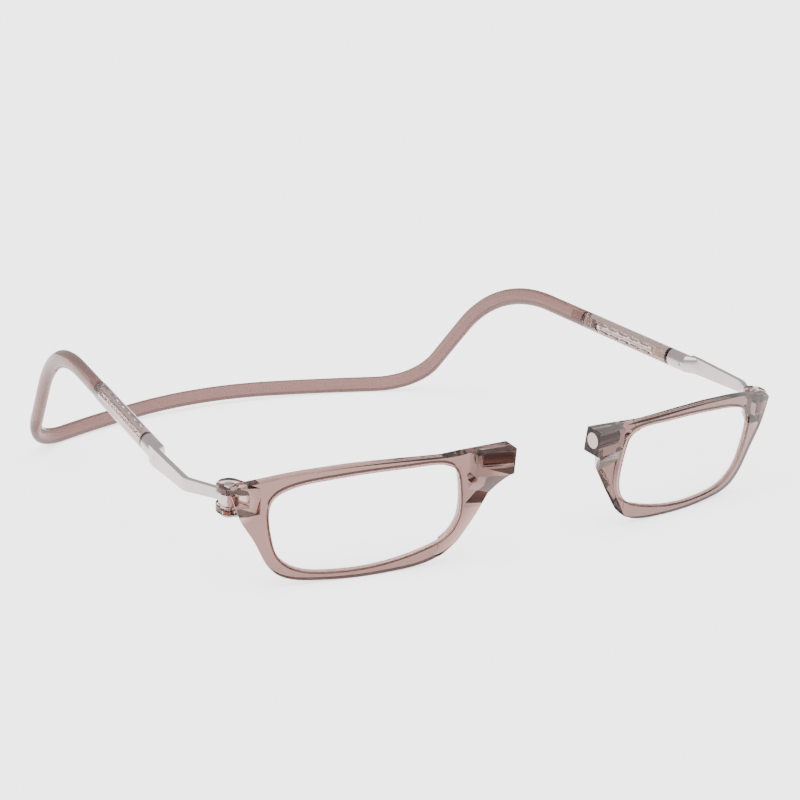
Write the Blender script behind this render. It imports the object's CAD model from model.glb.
import math

import bmesh
import bpy
from mathutils import Matrix, Vector


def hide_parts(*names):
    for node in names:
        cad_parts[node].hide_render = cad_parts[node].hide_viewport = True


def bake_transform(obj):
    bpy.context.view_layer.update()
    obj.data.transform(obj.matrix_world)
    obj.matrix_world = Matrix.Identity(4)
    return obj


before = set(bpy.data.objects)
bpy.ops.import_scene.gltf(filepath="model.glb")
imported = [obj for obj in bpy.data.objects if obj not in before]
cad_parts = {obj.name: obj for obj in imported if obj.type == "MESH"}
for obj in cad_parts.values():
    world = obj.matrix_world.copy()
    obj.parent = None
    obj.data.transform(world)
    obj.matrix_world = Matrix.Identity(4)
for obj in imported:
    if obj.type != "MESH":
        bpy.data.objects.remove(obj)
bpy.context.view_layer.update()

MM = 0.001
SHADER = "Principled BSDF"

# Stance: the plane of the arms rises by this angle towards the back, and its origin stands
# here, in millimetres
STANCE = math.radians(9.186494)
ARMS_ORIGIN = Vector((0, -86.6065, 22.7648))

# Neck band, in millimetres from the arms' origin and plane: the corners of its run from the
# wearer's left plug to the middle of the back, the radii that round them, and its section
BAND_CORNERS = [
    (77.9586, 79.8043, 0), (74.8681, 124.0, 0), (69.2, 164.0, -47.1), (39.6, 180.4, -49.4),
    (0, 190.8, -49.4),
]
BAND_RADII = [56.0, 23.5, 115.0, 95.0]
BAND_WIDTH = 3.6
BAND_HEIGHT = 5.2

# Mesh of the band: the length of a step, the fewest steps of an arc, and the sides of a ring
BAND_STEP = 1.2
ARC_STEPS = 4
BAND_SIDES = 40

# Adjuster sleeve, in millimetres in the plane of the arms: where the metal arm ends, the gap
# to the sleeve, and the widths of the dark lines at the front of the sleeve and at the back of
# the collar
ARM_END = Vector((80.7, 40.6, 0))
SLEEVE_GAP = 0.3
SLEEVE_LINE = 0.9
COLLAR_LINE = 0.5
SLEEVE_LINE_SHADE = (0.012, 0.008, 0.007)
COLLAR_LINE_SHADE = (0.04, 0.026, 0.023)

# Hinge, in millimetres: its middle, and the reaches within which the knuckle is all pale and
# beyond which it has the colour of the rim
HINGE_MIDDLE = Vector((77.3202, -86.217, 23.5522))
PALE_REACH = 4.5
RIM_REACH = 7.5
KNUCKLE_SHADE = (0.72, 0.56, 0.52)

# Dimple where the block meets the rim, in millimetres: its middle and the reach of its shade
DIMPLE_MIDDLE = Vector((20.63, -101.67, 22.12))
DIMPLE_REACH = 1.4
DIMPLE_SHADE = (0.06, 0.035, 0.03)

# Distance from the mirror plane, in millimetres, within which only the ground face of a
# magnet lies
MAGNET_FACE_REACH = 12.2
MAGNET_SIDE_SHADE = (0.42, 0.30, 0.275)

# Noise of the materials: scales per metre, and detail for colours and for surfaces
FLOW_SCALE = 45
FLOW_STRETCH = (1, 0.5, 1.6)
POLISH_SCALE = 700
MOULD_SCALE = 120
CLOUD_SCALE = 120
HAZE_SCALE = 40
COLOUR_DETAIL = 3
SURFACE_DETAIL = 2

# Surfaces: the least and the most roughness as shares of the set one, and the strength and the
# depth in metres of the relief
PLASTIC_POLISH = (0.6, 1.6)
METAL_POLISH = (0.7, 1.4)
MOULD_RELIEF = (0.1, 0.00001)
BRUSH_RELIEF = (0.35, 0.00002)

# Lens: its index of refraction, its most roughness and its two tints
LENS_BEND = 1.5
LENS_ROUGHNESS = 0.012
LENS_LIGHT = (1, 1, 1)
LENS_DARK = (0.985, 0.99, 0.99)

# Table and light: the table's side in metres, its grey and its glow, the strength of the
# surroundings, and the strength, spread and turn of the daylight
TABLE_SIZE = 400
TABLE_GREY = (0.9, 0.9, 0.9, 1)
TABLE_GLOW = 2.0
WHITE = (1, 1, 1, 1)
WORLD_STRENGTH = 1.0
DAYLIGHT_ENERGY = 4
DAYLIGHT_SPREAD = math.radians(64)
DAYLIGHT_TURN = (math.radians(25), math.radians(-20), 0)

# Camera at the photograph's place: the sensor's width and the focal length in millimetres, its
# own axes, and its place in metres
CAMERA_SENSOR = 36
CAMERA_FOCAL = 86.69
CAMERA_RIGHT = Vector((0.8700644, -0.49106952, -0.04287959))
CAMERA_UP = Vector((0.14200525, 0.16639737, 0.9757799))
CAMERA_BACK = Vector((-0.47204072, -0.85508049, 0.21451088))
CAMERA_PLACE = Vector((-0.2501926, -0.48319803, 0.1392804))


# Shapes

def standing(point):
    """Where a point, in millimetres from the plane of the arms, stands in metres."""
    x, y, z = point
    back, up = math.cos(STANCE), math.sin(STANCE)
    return (ARMS_ORIGIN + Vector((x, y * back - z * up, y * up + z * back))) * MM


def rounded_corner(before, corner, after, radius, step):
    """Points on the arc that rounds a corner, about a step apart."""
    inward = (before - corner).normalized()
    onward = (after - corner).normalized()
    half_turn = (math.pi - inward.angle(onward)) / 2
    reach = radius * math.tan(half_turn)
    middle = corner + (inward + onward).normalized() * radius / math.cos(half_turn)
    start = corner + inward * reach
    count = max(ARC_STEPS, math.ceil(2 * half_turn * radius / step))
    normal = inward.cross(onward).normalized()
    spoke = start - middle
    turns = [-2 * half_turn * k / count for k in range(count + 1)]
    return [middle + Matrix.Rotation(turn, 3, normal) @ spoke for turn in turns]


def rounded_route(corners, radii, step):
    """Points about a step apart along straight runs joined by arcs."""
    route = [corners[0]]
    for before, corner, after, radius in zip(corners, corners[1:], corners[2:], radii):
        route += rounded_corner(before, corner, after, radius, step)
    route.append(corners[-1])
    spaced = [route[0]]
    for start, end in zip(route, route[1:]):
        count = max(1, math.ceil((end - start).length / step))
        spaced += [start.lerp(end, k / count) for k in range(1, count + 1)]
    return spaced


def band_route():
    """Middle line of the neck band, from the wearer's left plug round to the right one."""
    corners = [Vector(corner) for corner in BAND_CORNERS]
    corners += [Vector((-x, y, z)) for x, y, z in reversed(BAND_CORNERS[:-1])]
    return rounded_route(corners, BAND_RADII + BAND_RADII[-2::-1], BAND_STEP)


def band_ring(tube, spot, along):
    """An oval ring of the band round a spot of its middle line."""
    across = along.cross(Vector((0, 0, 1))).normalized()
    upward = across.cross(along)
    ring = []
    for k in range(BAND_SIDES):
        angle = 2 * math.pi * k / BAND_SIDES
        sideways = across * math.cos(angle) * BAND_WIDTH / 2
        rise = upward * math.sin(angle) * BAND_HEIGHT / 2
        ring.append(tube.verts.new(standing(spot + (sideways + rise))))
    return ring


def band_tube():
    """The neck band as a closed tube of rings."""
    route = band_route()
    tube = bmesh.new()
    rings = []
    for index, spot in enumerate(route):
        ahead = route[min(index + 1, len(route) - 1)]
        behind = route[max(index - 1, 0)]
        rings.append(band_ring(tube, spot, (ahead - behind).normalized()))
    for ring, following in zip(rings, rings[1:]):
        for k in range(BAND_SIDES):
            beside = (k + 1) % BAND_SIDES
            tube.faces.new((ring[k], ring[beside], following[beside], following[k]))
    tube.faces.new(rings[0])
    tube.faces.new(rings[-1])
    return tube


def add_mesh(name, mesh_tool, material):
    """Turns a bmesh into a smooth shaded object."""
    bmesh.ops.recalc_face_normals(mesh_tool, faces=mesh_tool.faces)
    data = bpy.data.meshes.new(name)
    mesh_tool.to_mesh(data)
    mesh_tool.free()
    for polygon in data.polygons:
        polygon.use_smooth = True
    piece = bpy.data.objects.new(name, data)
    bpy.context.scene.collection.objects.link(piece)
    data.materials.append(material)
    return piece


# Nodes

def node_material(name):
    """A new material with its node tree and its shader."""
    material = bpy.data.materials.new(name)
    material.use_nodes = True
    tree = material.node_tree
    return material, tree, tree.nodes[SHADER]


def set_values(node, values):
    """Sets sockets of a node to plain values."""
    for key, value in values.items():
        node.inputs[key].default_value = value


def add_node(tree, kind, inputs=None, **settings):
    """A new node with its settings, and its sockets set to values or linked to outputs."""
    made = tree.nodes.new(kind)
    for key, value in settings.items():
        setattr(made, key, value)
    for key, value in (inputs or {}).items():
        if isinstance(value, bpy.types.NodeSocket):
            tree.links.new(value, made.inputs[key])
        else:
            made.inputs[key].default_value = value
    return made


def object_noise(tree, scale, detail, stretch=(1, 1, 1)):
    """Noise over the object's own coordinates, in metres."""
    place = add_node(tree, "ShaderNodeTexCoord")
    mapped = add_node(
        tree, "ShaderNodeMapping", {"Vector": place.outputs["Object"], "Scale": stretch}
    )
    return add_node(
        tree, "ShaderNodeTexNoise",
        {"Vector": mapped.outputs["Vector"], "Scale": scale, "Detail": detail},
    ).outputs["Fac"]


def ramp(tree, factor, low, high):
    """Maps a factor to a range."""
    return add_node(
        tree, "ShaderNodeMapRange", {"Value": factor, "To Min": low, "To Max": high}
    ).outputs["Result"]


def tint(tree, factor, first, second):
    """Mixes two colours by a factor."""
    return add_node(
        tree, "ShaderNodeMix", {"Factor": factor, "A": (*first, 1), "B": (*second, 1)},
        data_type="RGBA",
    ).outputs["Result"]


def add_relief(tree, height, relief):
    """Gives a shader a fine relief."""
    strength, depth = relief
    bump = add_node(
        tree, "ShaderNodeBump", {"Height": height, "Strength": strength, "Distance": depth}
    )
    tree.links.new(bump.outputs["Normal"], tree.nodes[SHADER].inputs["Normal"])


def mirrored_place(tree):
    """The object's own coordinates, in metres, folded onto the wearer's left."""
    place = add_node(tree, "ShaderNodeTexCoord")
    parts = add_node(tree, "ShaderNodeSeparateXYZ", {"Vector": place.outputs["Object"]})
    outward = add_node(tree, "ShaderNodeMath", {0: parts.outputs["X"]}, operation="ABSOLUTE")
    return add_node(
        tree, "ShaderNodeCombineXYZ",
        {"X": outward.outputs["Value"], "Y": parts.outputs["Y"], "Z": parts.outputs["Z"]},
    ).outputs["Vector"]


def distance_from(tree, middle):
    """Distance in metres from a point given in millimetres, or from its mirror image."""
    return add_node(
        tree, "ShaderNodeVectorMath", {0: mirrored_place(tree), 1: middle * MM},
        operation="DISTANCE",
    ).outputs["Value"]


def add_shade(tree, inside, shade):
    """Mixes another shade into the colour where the factor is one."""
    colour = tree.nodes[SHADER].inputs["Base Color"]
    plain = colour.links[0].from_socket
    mixed = add_node(
        tree, "ShaderNodeMix", {"Factor": inside, "A": plain, "B": (*shade, 1)},
        data_type="RGBA",
    )
    tree.links.new(mixed.outputs["Result"], colour)


# Materials

def translucent_plastic(name, light, dark, clarity, roughness, absorb, density, gloss, bend):
    """Moulded see-through plastic with faint flow marks and a slightly uneven polish.

    Its colour runs from light to dark. Clarity is the share that is see-through, absorb and
    density are the colour inside and its strength, gloss is the strength of its shine, and
    bend is its index of refraction.
    """
    material, tree, shader = node_material(name)
    flow = object_noise(tree, FLOW_SCALE, COLOUR_DETAIL, FLOW_STRETCH)
    tree.links.new(tint(tree, flow, light, dark), shader.inputs["Base Color"])
    polish = object_noise(tree, POLISH_SCALE, SURFACE_DETAIL)
    least, most = PLASTIC_POLISH
    tree.links.new(ramp(tree, polish, roughness * least, roughness * most),
                   shader.inputs["Roughness"])
    set_values(shader, {"IOR": bend, "Specular Tint": (gloss, gloss, gloss, 1),
                        "Transmission Weight": clarity})
    add_relief(tree, object_noise(tree, MOULD_SCALE, SURFACE_DETAIL), MOULD_RELIEF)
    inside = add_node(
        tree, "ShaderNodeVolumeAbsorption", {"Color": (*absorb, 1), "Density": density}
    )
    tree.links.new(inside.outputs["Volume"], tree.nodes["Material Output"].inputs["Volume"])
    return material


def worked_metal(name, light, dark, roughness, stretch, grain):
    """Metal with fine brush lines and a light unevenness of colour.

    Its colour runs from light to dark. The brush lines have a scale of grain per metre and
    are stretched along the axes.
    """
    material, tree, shader = node_material(name)
    lines = object_noise(tree, grain, SURFACE_DETAIL, stretch)
    cloud = object_noise(tree, CLOUD_SCALE, COLOUR_DETAIL)
    tree.links.new(tint(tree, cloud, light, dark), shader.inputs["Base Color"])
    least, most = METAL_POLISH
    tree.links.new(ramp(tree, lines, roughness * least, roughness * most),
                   shader.inputs["Roughness"])
    set_values(shader, {"Metallic": 1})
    add_relief(tree, lines, BRUSH_RELIEF)
    return material


def lens_glass(name):
    """Clear lens with a faint unevenness of its polish."""
    material, tree, shader = node_material(name)
    haze = object_noise(tree, HAZE_SCALE, SURFACE_DETAIL)
    tree.links.new(tint(tree, haze, LENS_LIGHT, LENS_DARK), shader.inputs["Base Color"])
    tree.links.new(ramp(tree, haze, 0, LENS_ROUGHNESS), shader.inputs["Roughness"])
    set_values(shader, {"IOR": LENS_BEND, "Transmission Weight": 1})
    return material


# Shades on parts of a material

def shade_end(tree, middle, width, shade):
    """A dark line round a moulded end, at a point of the arm in millimetres."""
    back = (standing(Vector(BAND_CORNERS[0])) - standing(ARM_END)).normalized()
    along = add_node(
        tree, "ShaderNodeVectorMath", {0: mirrored_place(tree), 1: back}, operation="DOT_PRODUCT"
    )
    inside = add_node(
        tree, "ShaderNodeMath",
        {0: along.outputs["Value"], 1: standing(middle).dot(back), 2: width * MM / 2},
        operation="COMPARE",
    )
    add_shade(tree, inside.outputs["Value"], shade)


def shade_sleeve_ends(tree):
    """Dark lines at the front of the sleeve and at the back of the collar."""
    collar_end = Vector(BAND_CORNERS[0])
    back = (collar_end - ARM_END).normalized()
    sleeve_middle = ARM_END + back * (SLEEVE_GAP + SLEEVE_LINE / 2)
    collar_middle = collar_end - back * COLLAR_LINE / 2
    shade_end(tree, sleeve_middle, SLEEVE_LINE, SLEEVE_LINE_SHADE)
    shade_end(tree, collar_middle, COLLAR_LINE, COLLAR_LINE_SHADE)


def shade_knuckle(tree):
    """The thin knuckle is paler than the rim."""
    near_hinge = add_node(
        tree, "ShaderNodeMapRange",
        {"Value": distance_from(tree, HINGE_MIDDLE), "From Min": PALE_REACH * MM,
         "From Max": RIM_REACH * MM, "To Min": 1, "To Max": 0},
    )
    add_shade(tree, near_hinge.outputs["Result"], KNUCKLE_SHADE)


def shade_dimple(tree):
    """The dimple where the block meets the rim looks dark."""
    in_dimple = add_node(
        tree, "ShaderNodeMath",
        {0: distance_from(tree, DIMPLE_MIDDLE), 1: DIMPLE_REACH * MM}, operation="LESS_THAN",
    )
    add_shade(tree, in_dimple.outputs["Value"], DIMPLE_SHADE)


def shade_magnet_side(tree):
    """A magnet looks dark in its bore, but for its ground face."""
    parts = add_node(tree, "ShaderNodeSeparateXYZ", {"Vector": mirrored_place(tree)})
    behind_face = add_node(
        tree, "ShaderNodeMath", {0: parts.outputs["X"], 1: MAGNET_FACE_REACH * MM},
        operation="GREATER_THAN",
    )
    add_shade(tree, behind_face.outputs["Value"], MAGNET_SIDE_SHADE)


# Surroundings

def white_table():
    """A plain pale table that glows, so that it stays even."""
    bpy.ops.mesh.primitive_plane_add(size=TABLE_SIZE)
    top = bpy.context.object
    top.name = "table_top"
    material, _, shader = node_material("table_white")
    set_values(shader, {
        "Base Color": TABLE_GREY, "Emission Color": WHITE, "Emission Strength": TABLE_GLOW,
        "Roughness": 1, "Specular IOR Level": 0,
    })
    top.data.materials.append(material)
    return top


def add_studio_light():
    """White surroundings and one broad soft lamp."""
    world = bpy.data.worlds.new("studio")
    world.use_nodes = True
    set_values(world.node_tree.nodes["Background"], {"Color": WHITE, "Strength": WORLD_STRENGTH})
    bpy.context.scene.world = world
    daylight = bpy.data.lights.new("soft_daylight", "SUN")
    daylight.energy = DAYLIGHT_ENERGY
    daylight.angle = DAYLIGHT_SPREAD
    lamp = bpy.data.objects.new("soft_daylight", daylight)
    lamp.rotation_euler = DAYLIGHT_TURN
    bpy.context.scene.collection.objects.link(lamp)


def photo_camera():
    """The camera that took the photograph."""
    data = bpy.data.cameras.new("photo_camera")
    data.sensor_width = CAMERA_SENSOR
    data.lens = CAMERA_FOCAL
    made = bpy.data.objects.new("photo_camera", data)
    place = Matrix((CAMERA_RIGHT, CAMERA_UP, CAMERA_BACK)).transposed().to_4x4()
    place.translation = CAMERA_PLACE
    made.matrix_world = place
    bpy.context.scene.collection.objects.link(made)
    return made


# Dressed glasses

frame_plastic = translucent_plastic(
    "frame_plastic", light=(0.335, 0.207, 0.185), dark=(0.30, 0.185, 0.165), clarity=0.99,
    roughness=0.012, absorb=(0.46, 0.40, 0.385), density=300, gloss=0.15, bend=1.34,
)
sleeve_plastic = translucent_plastic(
    "sleeve_plastic", light=(0.66, 0.52, 0.49), dark=(0.61, 0.475, 0.45), clarity=0.93,
    roughness=0.04, absorb=(0.55, 0.45, 0.43), density=150, gloss=0.2, bend=1.33,
)
band_plastic = translucent_plastic(
    "band_plastic", light=(0.285, 0.17, 0.155), dark=(0.26, 0.154, 0.14), clarity=0.6,
    roughness=0.06, absorb=(0.52, 0.42, 0.40), density=150, gloss=0.15, bend=1.27,
)
# The band has a soft bloom instead of a shine
set_values(band_plastic.node_tree.nodes[SHADER], {"Specular IOR Level": 0})
clear_lens = lens_glass("clear_lens")
brushed_metal = worked_metal(
    "brushed_metal", light=(0.48, 0.415, 0.405), dark=(0.41, 0.345, 0.335), roughness=0.26,
    stretch=(1, 0.06, 1), grain=5200,
)
magnet_nickel = worked_metal(
    "magnet_nickel", light=(0.42, 0.335, 0.32), dark=(0.36, 0.285, 0.27), roughness=0.34,
    stretch=(1, 1, 0.2), grain=4200,
)
rod_steel = worked_metal(
    "rod_steel", light=(0.64, 0.62, 0.60), dark=(0.52, 0.50, 0.48), roughness=0.30,
    stretch=(1, 0.05, 1), grain=4200,
)
screw_steel = worked_metal(
    "screw_steel", light=(0.62, 0.60, 0.58), dark=(0.50, 0.48, 0.46), roughness=0.28,
    stretch=(0.3, 1, 1), grain=5200,
)
insert_brass = worked_metal(
    "insert_brass", light=(0.38, 0.215, 0.14), dark=(0.30, 0.165, 0.105), roughness=0.35,
    stretch=(1, 1, 0.2), grain=4200,
)
shade_sleeve_ends(sleeve_plastic.node_tree)
shade_knuckle(frame_plastic.node_tree)
shade_dimple(frame_plastic.node_tree)
shade_magnet_side(magnet_nickel.node_tree)

NODE_MATERIALS = {
    "rim": frame_plastic, "lens": clear_lens, "bridge_magnet": magnet_nickel,
    "hinge_screw": screw_steel, "hinge_insert": insert_brass, "temple_arm": brushed_metal,
    "slide_rod": rod_steel, "rod_pin": rod_steel, "detent_stud": rod_steel,
    "adjuster_sleeve": sleeve_plastic, "band_plug": sleeve_plastic,
}
for side in ("left", "right"):
    for part_name, part_material in NODE_MATERIALS.items():
        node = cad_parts[f"{side}_{part_name}"]
        node.data.materials.clear()
        node.data.materials.append(part_material)

# The neck band is drawn anew so that it bends
band = add_mesh("neck_band_soft", band_tube(), band_plastic)
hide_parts("neck_band")
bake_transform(band)

table = white_table()
add_studio_light()
camera = photo_camera()
bpy.context.scene.camera = camera
